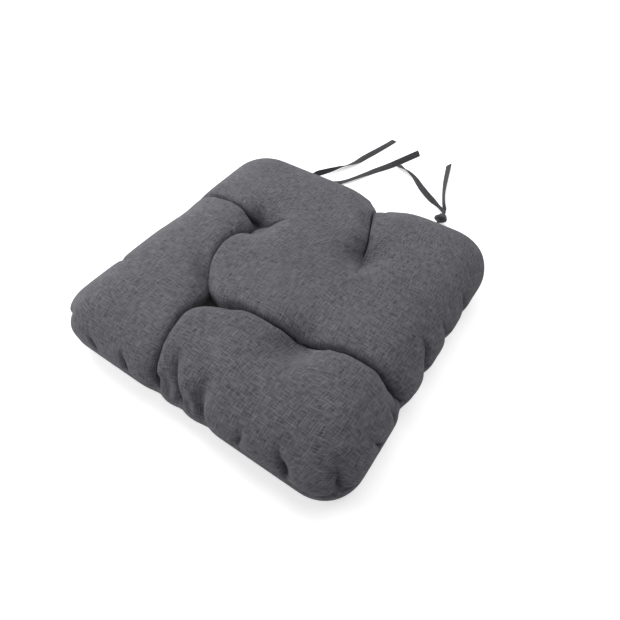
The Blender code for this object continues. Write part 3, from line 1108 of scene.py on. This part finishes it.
    def mark_creases(self) -> None:
        """Find the cloth that each crease draws down, and the wall between its sides."""
        self.lines = []
        cloth = self.cloth.reshape(-1, 2)
        for crease in self.creases:
            rows = smooth_curve(crease.rows, 0.0025)
            top = self.sample(self.rest, rows[:, :2])
            out = unit(self.sample(self.outward, rows[:, :2]))
            edge = self.reach - np.abs(rows[:, :2]).max(1)
            top = top + (crease.lift * smoothstep(edge / self.seam_calm))[:, None] * out
            along = unit(np.gradient(top, axis=0))
            across = unit(np.cross(along, out))
            lean = math.radians(crease.lean)
            wall = across * math.cos(lean) - out * math.sin(lean)
            apart = cloth[:, None, :] - rows[None, :, :2]
            squared = (apart**2).sum(-1)
            near = squared.argmin(1)
            each = np.arange(len(near))
            offset = apart[each, near]
            run = unit(np.gradient(rows[:, :2], axis=0))[near]
            side = np.sign(run[:, 1] * offset[:, 0] - run[:, 0] * offset[:, 1])
            beyond = (near == 0) | (near == len(rows) - 1)
            self.lines.append(
                {
                    "depth": rows[:, 2],
                    "top": top,
                    "out": out,
                    "wall": wall,
                    "near": near,
                    "away": np.sqrt(squared[each, near]),
                    "side": side,
                    "beyond": beyond,
                    "soft": crease.soft,
                    "run": run,
                    "lift": crease.lift,
                }
            )

    @staticmethod
    def hold(
        first: np.ndarray, second: np.ndarray, length: np.ndarray, stretch: float, squash: float
    ) -> None:
        """Draw pairs of points towards their length, in place.

        Args:
            first: One end of each pair.
            second: The other end.
            length: The length of cloth between them.
            stretch: The share of an overlong gap that is taken up.
            squash: The share of a short gap that is given back.
        """
        gap = second - first
        size = np.sqrt((gap * gap).sum(-1))
        share = np.where(size > length, stretch, squash)
        move = (share * (size - length) / np.maximum(size, 1e-9) * 0.5)[..., None] * gap
        first += move
        second -= move

    def hold_threads(self, points: np.ndarray) -> None:
        """Keep warp and weft near their lengths.

        Args:
            points: The grid of points, changed in place.
        """
        for odd in (0, 1):
            first = points[odd:-1:2]
            second = points[odd + 1 :: 2][: len(first)]
            self.hold(first, second, self.warp[odd::2], 1.0, self.squeeze)
            first = points[:, odd:-1:2]
            second = points[:, odd + 1 :: 2][:, : first.shape[1]]
            self.hold(first, second, self.weft[:, odd::2], 1.0, self.squeeze)

    def hold_diagonals(self, points: np.ndarray) -> None:
        """Resist shear between the threads.

        Args:
            points: The grid of points, changed in place.
        """
        give = self.shear * 0.3
        for odd in (0, 1):
            first = points[odd:-1:2, :-1]
            second = points[odd + 1 :: 2, 1:][: len(first)]
            self.hold(first, second, self.rising[odd::2], self.shear, give)
            first = points[odd:-1:2, 1:]
            second = points[odd + 1 :: 2, :-1][: len(first)]
            self.hold(first, second, self.falling[odd::2], self.shear, give)

    def hold_bends(self, points: np.ndarray) -> None:
        """Resist sharp bends.

        Args:
            points: The grid of points, changed in place.
        """
        for odd in range(4):
            first = points[odd:-2:4]
            count = len(first)
            length = self.bend_u[odd::4][:count]
            self.hold(first, points[odd + 2 :: 4][:count], length, 0.0, self.stiffness)
            first = points[:, odd:-2:4]
            count = first.shape[1]
            length = self.bend_v[:, odd::4][:, :count]
            self.hold(first, points[:, odd + 2 :: 4][:, :count], length, 0.0, self.stiffness)

    def draw_creases(self, points: np.ndarray, share: float, step: int) -> None:
        """Draw each crease down and keep its two sides apart.

        Args:
            points: The cloth's points in one list, changed in place.
            share: How much of the depth is reached, from 0 to 1.
            step: The step's number.
        """
        for line in self.lines:
            bottom = line["top"] - (line["depth"] * share)[:, None] * line["out"]
            if line["soft"]:
                drawn = line["away"] < line["soft"]
                near = line["near"][drawn]
                out = line["out"][near]
                pull = 0.25 * smoothstep(1 - line["away"][drawn] / line["soft"])
                pull = pull * (line["depth"][near] > 0)
                lower = np.minimum(((bottom[near] - points[drawn]) * out).sum(-1), 0.0)
                points[drawn] += (pull * lower)[:, None] * out
                continue
            drawn = (line["away"] < self.groove) & ~line["beyond"]
            points[drawn] += 0.5 * (bottom[line["near"][drawn]] - points[drawn])
            if step % 8 == 0:
                beside = (line["away"] < 0.06) & (line["away"] > self.groove * 0.5)
                close = np.where(beside & ~line["beyond"])[0]
                apart = points[close][:, None, :] - line["top"][None]
                rise = (apart * line["out"][None]).sum(-1)
                where = ((apart * apart).sum(-1) - rise * rise).argmin(1)
                inside = (where > 0) & (where < len(line["top"]) - 1)
                line["close"] = close[inside]
                line["where"] = where[inside]
            close = line["close"]
            where = line["where"]
            wall = line["wall"][where]
            side = line["side"][close]
            clear = ((points[close] - bottom[where]) * wall).sum(-1) * side
            move = np.clip(0.0006 - clear, 0.0, 0.004) * side
            points[close] += move[:, None] * wall

    def looseness(self) -> np.ndarray:
        """How much longer the cloth is cut across the creases.

        Returns:
            For each grid point, a vector across the nearest deep crease. Its squared length is
            the extra share of cloth.
        """
        extra = np.zeros(self.rest.shape[:2] + (2,))
        places = self.rest.reshape(-1, 3)
        free = np.ones(len(places))
        for x, y, _ in self.tufts:
            free *= smoothstep(np.hypot(places[:, 0] - x, places[:, 1] - y) / self.tuft_calm)
        for line in self.lines:
            if line["soft"] or line["lift"]:
                continue
            share = self.crease_excess * np.exp(-((line["away"] / self.crease_reach) ** 2)) * free
            run = line["run"]
            vector = np.sqrt(share)[:, None] * np.stack([run[:, 1], -run[:, 0]], axis=1)
            vector = vector.reshape(extra.shape)
            stronger = (vector**2).sum(-1) > (extra**2).sum(-1)
            extra[stronger] = vector[stronger]
        return extra

    def relax(self) -> np.ndarray:
        """Let the cloth settle over the filling.

        Returns:
            The grid of points.
        """
        self.lay_out()
        self.outward = self.normals(self.rest)
        self.mark_creases()
        rest = self.rest
        across = self.looseness()

        def length(first: tuple, second: tuple, u: int, v: int) -> np.ndarray:
            """The length of cloth between neighbours.

            Args:
                first: The slices of the first points.
                second: The slices of the second points.
                u: How many cells apart they lie one way.
                v: And the other way.

            Returns:
                A grid of lengths.
            """
            share = (across[first] * np.array([u, v]) / math.hypot(u, v)).sum(-1) ** 2
            return np.linalg.norm(rest[first] - rest[second], axis=-1) * (1 + self.excess + share)

        start, end, every = slice(None, -1), slice(1, None), slice(None)
        self.warp = length((start, every), (end, every), 1, 0)
        self.weft = length((every, start), (every, end), 0, 1)
        self.rising = length((start, start), (end, end), 1, 1)
        self.falling = length((start, end), (end, start), 1, -1)
        start, end = slice(None, -2), slice(2, None)
        self.bend_u = length((start, every), (end, every), 1, 0)
        self.bend_v = length((every, start), (every, end), 0, 1)
        sewn = np.zeros(rest.shape[:2], bool)
        sewn[0] = sewn[-1] = sewn[:, 0] = sewn[:, -1] = True
        tacks = []
        for x, y, z in self.tufts:
            held = np.hypot(rest[..., 0] - x, rest[..., 1] - y) < self.pinch
            tacks.append((held, np.array([x, y, z]), rest[held].mean(0)))
        points = rest.copy()
        speed = np.zeros_like(points)
        for step in range(self.steps):
            share = min(2 * step / self.steps, 1.0)
            swell = ((points - rest) * self.outward).sum(-1)
            push = self.pressure * np.clip(1 - swell / self.cap, -1, 1)
            speed = speed * 0.92 + self.normals(points) * push[..., None]
            size = np.linalg.norm(speed, axis=-1, keepdims=True)
            speed *= np.minimum(1, 0.0025 / np.maximum(size, 1e-12))
            moved = points + speed
            self.hold_threads(moved)
            self.hold_threads(moved)
            self.hold_diagonals(moved)
            self.hold_bends(moved)
            flat = moved.reshape(-1, 3)
            self.draw_creases(flat, share, step)
            moved = flat.reshape(points.shape)
            for held, place, start in tacks:
                moved[held] += start * (1 - share) + place * share - moved[held].mean(0)
            if self.floor is not None:
                moved[..., 2] = np.maximum(moved[..., 2], self.floor)
            moved[sewn] = rest[sewn]
            speed = moved - points
            points = moved
        return points

    def mesh(self, name: str, points: np.ndarray) -> bpy.types.Object:
        """Make a piece of the relaxed cloth.

        Args:
            name: The piece's name.
            points: The grid of points.

        Returns:
            The piece, with its cloth map and the fold mask of its painted crease shade.
        """
        quads = grid_faces(self.cells + 1)
        if self.up < 0:
            quads = quads[:, ::-1]
        uvs = self.cloth.reshape(-1, 2)[quads.ravel()]
        piece = new_piece(name, points.reshape(-1, 3), quads, uvs)
        # The fold attribute carries the painted shade of the creases to the cover's finish.
        folds = piece.data.attributes.new("fold", "FLOAT", "POINT")
        folds.data.foreach_set("value", self.folds())
        return piece

    def folds(self) -> np.ndarray:
        """How deep in a fold the cloth lies: the mask of the painted shade that darkens the
        creases.

        Returns:
            A number from 0 to 1 for each point.
        """
        depth = np.zeros(self.rest.shape[0] * self.rest.shape[1])
        for line in self.lines:
            if not line["soft"]:
                near = np.exp(-((line["away"] / 0.0035) ** 2)) * ~line["beyond"]
                deep = np.clip(line["depth"][line["near"]] / 0.016, 0.0, 1.0)
                depth = np.maximum(depth, near * deep)
        return depth.astype(np.float32)


TUFT_PLACES = (
    (-0.088, 0.057),
    (-0.055, -0.083),
    (0.062, 0.078),
    (0.069, -0.076),
)

# Broad hollows in the swell of the filling: x, y, depth and half width.
HOLLOWS = (
    (-0.079, 0.044, 0.026, 0.025),
    (-0.068, -0.072, 0.006, 0.022),
    (-0.048, -0.092, 0.013, 0.019),
    (0.068, 0.068, 0.025, 0.026),
    (0.076, -0.086, 0.024, 0.025),
    (0.027, 0.182, 0.020, 0.025),
    (0.054, 0.172, 0.006, 0.024),
    (0.044, 0.130, 0.007, 0.018),
    (0.190, -0.072, 0.008, 0.020),
    (-0.190, 0.020, 0.005, 0.034),
    (0.175, -0.175, 0.006, 0.030),
    (-0.150, 0.062, 0.004, 0.020),
)

DEEP_CREASES = (
    Crease(
        (
            (-0.088, 0.057, 0.009),
            (-0.100, 0.053, 0.013),
            (-0.122, 0.056, 0.017),
            (-0.146, 0.059, 0.016),
            (-0.170, 0.059, 0.012),
            (-0.195, 0.056, 0.005),
            (-0.222, 0.055, 0.0),
        ),
        14,
    ),
    Crease(
        (
            (-0.088, 0.057, 0.009),
            (-0.087, 0.033, 0.015),
            (-0.089, 0.009, 0.019),
            (-0.087, -0.016, 0.019),
            (-0.080, -0.041, 0.019),
            (-0.066, -0.066, 0.018),
            (-0.055, -0.083, 0.018),
        ),
        8,
    ),
    Crease(
        (
            (-0.055, -0.083, 0.018),
            (-0.054, -0.102, 0.018),
            (-0.053, -0.127, 0.018),
            (-0.047, -0.152, 0.016),
            (-0.042, -0.176, 0.014),
            (-0.040, -0.203, 0.010),
            (-0.039, -0.222, 0.004),
        ),
        8,
    ),
    Crease(
        (
            (-0.055, -0.083, 0.018),
            (-0.034, -0.090, 0.018),
            (-0.014, -0.086, 0.020),
            (0.006, -0.083, 0.020),
            (0.027, -0.082, 0.019),
            (0.047, -0.080, 0.016),
            (0.069, -0.076, 0.009),
        ),
        -12,
    ),
    Crease(
        (
            (0.069, -0.076, 0.009),
            (0.090, -0.076, 0.016),
            (0.111, -0.073, 0.020),
            (0.132, -0.070, 0.021),
            (0.163, -0.071, 0.019),
            (0.190, -0.074, 0.016),
            (0.206, -0.074, 0.012),
            (0.222, -0.074, 0.006),
        ),
        -12,
    ),
    Crease(
        (
            (0.062, 0.078, 0.009),
            (0.060, 0.092, 0.015),
            (0.054, 0.108, 0.018),
            (0.045, 0.130, 0.018),
            (0.036, 0.152, 0.017),
            (0.030, 0.180, 0.014),
            (0.027, 0.205, 0.010),
            (0.025, 0.222, 0.004),
        ),
        -2,
    ),
)

# How far the cloth swells above the filling where nothing holds it.
SWELL = ClothSheet.cap

SOFT_CREASES = (
    Crease(
        (
            (0.062, 0.078, 0.016),
            (0.048, 0.097, 0.013),
            (0.030, 0.121, 0.007),
            (0.008, 0.150, 0.0),
        ),
        soft=0.015,
        lift=SWELL,
    ),
    Crease(
        (
            (-0.088, 0.057, 0.015),
            (-0.072, 0.058, 0.010),
            (-0.055, 0.060, 0.004),
            (-0.038, 0.061, 0.0),
        ),
        soft=0.011,
        lift=SWELL,
    ),
    Crease(
        (
            (-0.088, 0.057, 0.015),
            (-0.090, 0.068, 0.011),
            (-0.098, 0.082, 0.005),
            (-0.112, 0.100, 0.0),
        ),
        soft=0.011,
        lift=SWELL,
    ),
    Crease(
        (
            (-0.055, -0.083, 0.019),
            (-0.072, -0.076, 0.015),
            (-0.088, -0.063, 0.010),
            (-0.102, -0.047, 0.005),
            (-0.115, -0.030, 0.0),
        ),
        soft=0.016,
        lift=SWELL,
    ),
    Crease(
        (
            (0.062, 0.078, 0.015),
            (0.068, 0.096, 0.009),
            (0.070, 0.118, 0.005),
            (0.075, 0.142, 0.0),
        ),
        soft=0.010,
        lift=SWELL,
    ),
)

# Where the seam gathers the cloth: four places in metres of cloth, how deep, and how wide a soft
# one is to each side.
GATHERS = (
    (((-0.009, -0.160), (-0.007, -0.180), (-0.003, -0.202), (-0.003, -0.222)), 0.011, 0.010),
    (((0.036, -0.164), (0.036, -0.184), (0.035, -0.204), (0.034, -0.222)), 0.011, 0.010),
    (((-0.020, -0.180), (-0.021, -0.192), (-0.022, -0.206), (-0.022, -0.222)), 0.008, 0.007),
    (((0.014, -0.186), (0.015, -0.196), (0.015, -0.208), (0.016, -0.222)), 0.007, 0.007),
    (((-0.092, -0.190), (-0.090, -0.200), (-0.088, -0.210), (-0.087, -0.222)), 0.004),
    (((-0.150, -0.196), (-0.146, -0.204), (-0.143, -0.212), (-0.141, -0.222)), 0.004),
    (((0.088, -0.186), (0.089, -0.198), (0.090, -0.210), (0.091, -0.222)), 0.004),
    (((0.122, -0.180), (0.136, -0.195), (0.150, -0.208), (0.163, -0.222)), 0.009),
    (((0.172, -0.166), (0.188, -0.182), (0.205, -0.199), (0.222, -0.215)), 0.010),
    (((0.176, 0.002), (0.192, -0.004), (0.207, -0.012), (0.222, -0.016)), 0.009),
    (((0.184, 0.038), (0.198, 0.043), (0.211, 0.049), (0.222, 0.054)), 0.007),
    (((0.188, 0.096), (0.200, 0.102), (0.211, 0.107), (0.222, 0.110)), 0.005),
    (((0.180, -0.094), (0.196, -0.095), (0.210, -0.098), (0.222, -0.102)), 0.006),
    (((0.182, -0.140), (0.198, -0.138), (0.211, -0.137), (0.222, -0.136)), 0.004),
    (((-0.160, -0.096), (-0.182, -0.102), (-0.204, -0.107), (-0.222, -0.112)), 0.006),
    (((-0.190, -0.020), (-0.202, -0.022), (-0.212, -0.024), (-0.222, -0.026)), 0.004),
    (((-0.188, 0.120), (-0.200, 0.124), (-0.211, 0.127), (-0.222, 0.130)), 0.004),
    (((-0.176, -0.186), (-0.192, -0.198), (-0.207, -0.207), (-0.222, -0.214)), 0.006),
    (((0.010, 0.192), (0.010, 0.202), (0.009, 0.212), (0.009, 0.222)), 0.007),
    (((0.040, 0.192), (0.042, 0.202), (0.043, 0.212), (0.044, 0.222)), 0.007),
    (((-0.060, 0.190), (-0.062, 0.201), (-0.063, 0.212), (-0.064, 0.222)), 0.004),
    (((0.110, 0.190), (0.112, 0.201), (0.113, 0.212), (0.115, 0.222)), 0.004),
    (((-0.115, 0.190), (-0.116, 0.201), (-0.116, 0.212), (-0.117, 0.222)), 0.004),
)

# Where the seam is drawn in: x, y, how far, and half the width of the notch.
SEAM_NOTCHES = (
    (-0.200, -0.100, 0.004, 0.012),
    (-0.200, -0.022, 0.002, 0.010),
    (-0.037, -0.200, 0.005, 0.011),
    (-0.003, -0.200, 0.004, 0.009),
    (0.034, -0.200, 0.004, 0.009),
    (0.200, -0.065, 0.007, 0.011),
    (0.200, -0.013, 0.007, 0.009),
    (0.200, 0.046, 0.006, 0.009),
    (0.200, 0.092, 0.004, 0.009),
    (0.025, 0.200, 0.006, 0.009),
    (0.009, 0.200, 0.002, 0.005),
    (0.043, 0.200, 0.002, 0.005),
)


def gathers() -> tuple:
    """Work out the short creases where the seam gathers the cloth.

    Returns:
        One crease for each row of GATHERS.
    """
    shares = (0.0, 0.55, 1.0, 0.25)
    return tuple(
        Crease(
            tuple((*place, (depth + SWELL * 0.8) * share) for place, share in zip(line, shares)),
            soft=soft[0] if soft else 0.0,
            lift=SWELL,
        )
        for line, depth, *soft in GATHERS
    )


@dataclass
class SeamStitch:
    """The lockstitch inside the seam, and the one that closes the gap at the back."""

    inset: float = 0.0018
    radius: float = 0.0003
    step: float = 0.0008
    stitch: float = 0.0032
    wave: float = 0.0002
    around: int = 6

    def build(self, sheet: "ClothSheet", material: bpy.types.Material) -> None:
        """Lay both threads along the sewn edge, up to the folds of the ties.

        Args:
            sheet: The panel whose edge they follow.
            material: The thread's finish.
        """
        rest = sheet.rest
        loop = np.vstack([rest[:-1, 0], rest[-1, :-1], rest[:0:-1, -1], rest[0, :0:-1]])
        back = np.where(loop[:, 1] > 0.15, np.abs(loop[:, 0]), 1.0)
        loop = np.roll(loop, -int(back.argmin()), axis=0)
        run = unit(np.roll(loop, -1, axis=0) - np.roll(loop, 1, axis=0))
        out = np.stack([run[:, 1], -run[:, 0], np.zeros(len(run))], axis=1)
        loop = smooth_curve(loop - out * self.inset, self.step, 3)
        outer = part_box("right_tie_fold")[1][0]
        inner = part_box("right_tie_fold")[0][0]
        at_back = loop[:, 1] > 0.15
        kept = ~at_back | (np.abs(loop[:, 0]) > outer)
        self.thread("pad_perimeter_stitch", loop[kept], "perimeter_seam_thread", material)
        between = loop[at_back & (np.abs(loop[:, 0]) < inner)]
        between = between[np.argsort(between[:, 0])]
        self.thread("pad_closing_stitch", between, "closing_seam_thread", material)

    def thread(self, name: str, line: np.ndarray, node: str, material: bpy.types.Material) -> None:
        """Args:
            name: The piece's name.
            line: Its centreline.
            node: The CAD node that it stands for.
            material: Its finish.
        """
        travelled = np.r_[0.0, np.cumsum(np.linalg.norm(np.diff(line, axis=0), axis=1))]
        line = line.copy()
        line[:, 2] += self.wave * np.sin(travelled * math.pi / self.stitch)
        heading = unit(np.gradient(line, axis=0))
        side = unit(np.cross(heading, [0.0, 0.0, 1.0]))
        rise = np.cross(side, heading)
        turn = np.arange(self.around) * 2 * math.pi / self.around
        level = np.cos(turn)[None, :, None] * side[:, None]
        rings = line[:, None] + self.radius * (level + np.sin(turn)[None, :, None] * rise[:, None])
        index = np.arange(len(line) * self.around).reshape(-1, self.around)
        after = np.roll(index, -1, axis=1)
        quads = np.stack([index[:-1], after[:-1], after[1:], index[1:]], axis=-1).reshape(-1, 4)
        faces = quads.tolist() + [index[0, ::-1].tolist(), index[-1].tolist()]
        piece = new_piece(name, rings.reshape(-1, 3), faces)
        face_out(piece)
        declare(piece, material, CUSHION, node)


@dataclass
class SeatPad:
    """The cover, its filling and its stitches."""

    tuft_height: float = 0.050
    base_tuft_height: float = 0.006
    filling_gap: float = 0.0015
    filling_inset: float = 0.006
    cell: float = 0.003
    plan: float = 0.22
    fullness: float = 0.8

    def build(self, finishes: dict[str, bpy.types.Material]) -> None:
        """Make every piece of the pad.

        Args:
            finishes: The materials by name.
        """
        tufts = tuple((x, y, self.tuft_height) for x, y in TUFT_PLACES)
        top = ClothSheet(
            creases=DEEP_CREASES + SOFT_CREASES + gathers(),
            tufts=tufts,
            notches=SEAM_NOTCHES,
            hollows=HOLLOWS,
        )
        cover = top.mesh("pad_cover_top", top.relax())
        self.dress_cover(cover, "top_cover_panel", finishes["cover"])
        SeamStitch().build(top, finishes["thread"])
        low_tufts = tuple((x, y, self.base_tuft_height) for x, y in TUFT_PLACES)
        base = ClothSheet(
            up=-1,
            run=0.035,
            rise=0.035,
            dome=0.0,
            excess=0.01,
            cap=0.0025,
            floor=0.0005,
            tufts=low_tufts,
            steps=120,
            pressure=0.0001,
            notches=SEAM_NOTCHES,
        )
        under = base.mesh("pad_cover_bottom", base.relax())
        self.dress_cover(under, "bottom_cover_panel", finishes["cover"])
        self.fill(cover, under, finishes["fibre"])

    def dress_cover(
        self, cover: bpy.types.Object, node: str, material: bpy.types.Material
    ) -> None:
        """Args:
            cover: The panel.
            node: The CAD node that it stands for.
            material: Its finish.
        """
        finish_mesh(cover, 1)
        declare(cover, material, CUSHION, node)

    def heights(self, panel: bpy.types.Object, sign: int) -> np.ndarray:
        """The height of a panel in square cells of the plan, nearest to the pad's middle.

        Args:
            panel: The panel's piece.
            sign: 1 for the top panel, -1 for the bottom one.

        Returns:
            A square array of heights.
        """
        points = np.empty(len(panel.data.vertices) * 3)
        panel.data.vertices.foreach_get("co", points)
        points = points.reshape(-1, 3)
        count = int(round(2 * self.plan / self.cell))
        place = np.clip(((points[:, :2] + self.plan) / self.cell).astype(int), 0, count - 1)
        lowest = np.full((count, count), 1.0)
        np.minimum.at(lowest, (place[:, 0], place[:, 1]), sign * points[:, 2])
        for _ in range(2):
            wide = np.pad(lowest, 1, mode="edge")
            moved = [wide[i : i + count, j : j + count] for i in range(3) for j in range(3)]
            lowest = np.min(moved, axis=0)
        return lowest

    def fill(
        self, cover: bpy.types.Object, under: bpy.types.Object, material: bpy.types.Material
    ) -> None:
        """Make the filling, just inside both panels.

        Args:
            cover: The top panel's piece.
            under: The bottom panel's piece.
            material: The filling's finish.
        """
        points = []
        for sign, panel in ((1, cover), (-1, under)):
            sheet = ClothSheet(
                cells=90,
                half=ClothSheet.half - self.filling_inset,
                up=sign,
                run=0.04,
                rise=0.044 if sign > 0 else 0.034,
                dome=0.0,
                notches=SEAM_NOTCHES,
            )
            sheet.lay_out()
            grid = sheet.rest.copy()
            limits = self.heights(panel, sign)
            place = ((grid[..., :2] + self.plan) / self.cell).astype(int)
            limit = sign * limits[place[..., 0], place[..., 1]] - sign * self.filling_gap
            inner = slice(1, -1)
            nearer = np.minimum if sign > 0 else np.maximum
            grid[inner, inner, 2] = nearer(grid[..., 2], limit)[inner, inner]
            points.append(grid.reshape(-1, 3))
        quads = grid_faces(sheet.cells + 1)
        faces = np.r_[quads, quads[:, ::-1] + len(points[0])]
        filling = new_piece("pad_fibre_filling", np.vstack(points), faces)
        face_out(filling, 1e-6)
        declare(filling, material, CUSHION, "fibre_filling")


def dress(node: str, material: bpy.types.Material) -> None:
    """Give a CAD node its finish.

    Args:
        node: The node's name.
        material: Its finish.
    """
    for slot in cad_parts[node].material_slots:
        slot.material = material
    LOG.info("%s is dressed", node)


def main() -> None:
    """Build the pad and its ties, and place the camera."""
    logging.basicConfig(level=logging.INFO, format="%(message)s")
    Studio().build()
    weave = weave_group()
    cover = WovenFinish(
        "charcoal_linen_look", (0.004, 0.004, 0.0055), (0.195, 0.190, 0.218), 0.00055, Place.CLOTH
    )
    tape = WovenFinish(
        "charcoal_tape", (0.018, 0.018, 0.021), (0.072, 0.072, 0.08), 0.0005, Place.CLOTH
    )
    # Painted light: a lighter copy of the tape's colours, which lifts the knot and the tie folds to
    # the tape's brightness.
    painted_light_tape = WovenFinish(
        "charcoal_in_space", (0.024, 0.024, 0.028), (0.115, 0.114, 0.126), 0.0005, Place.SPACE
    )
    finishes = {
        "cover": cover.build(weave),
        "tape": tape.build(weave),
        "painted_light_tape": painted_light_tape.build(weave),
        "thread": ThreadFinish().build(),
        "fibre": FibreFinish().build(),
    }
    ties = (
        Tie(
            "left_outer_tie_tape",
            "left_outer_tie",
            "left_tie_outer_strand",
            Side.LEFT,
            -1,
            LEFT_OUTER_ROUTE,
        ),
        Tie(
            "left_inner_tie_tape",
            "left_inner_tie",
            "left_tie_inner_strand",
            Side.LEFT,
            1,
            LEFT_INNER_ROUTE,
        ),
        Tie(
            "right_inner_tie_tape",
            "right_tie_pair",
            "right_tie_inner_strand",
            Side.RIGHT,
            -1,
            RIGHT_INNER_ROUTE,
        ),
        Tie(
            "right_outer_tie_tape",
            "right_tie_pair",
            "right_tie_outer_strand",
            Side.RIGHT,
            1,
            RIGHT_OUTER_ROUTE,
        ),
    )
    for tie in ties:
        tie.build(finishes["tape"])
    Knot().build(finishes["painted_light_tape"])
    SeatPad().build(finishes)
    # The tie folds take the lighter copy of the tape's finish, with its painted light.
    for node in ("left_tie_fold", "right_tie_fold"):
        dress(node, finishes["painted_light_tape"])
    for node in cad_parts:
        if node.startswith("tufting_thread"):
            dress(node, finishes["thread"])
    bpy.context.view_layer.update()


if __name__ == "__main__":
    main()
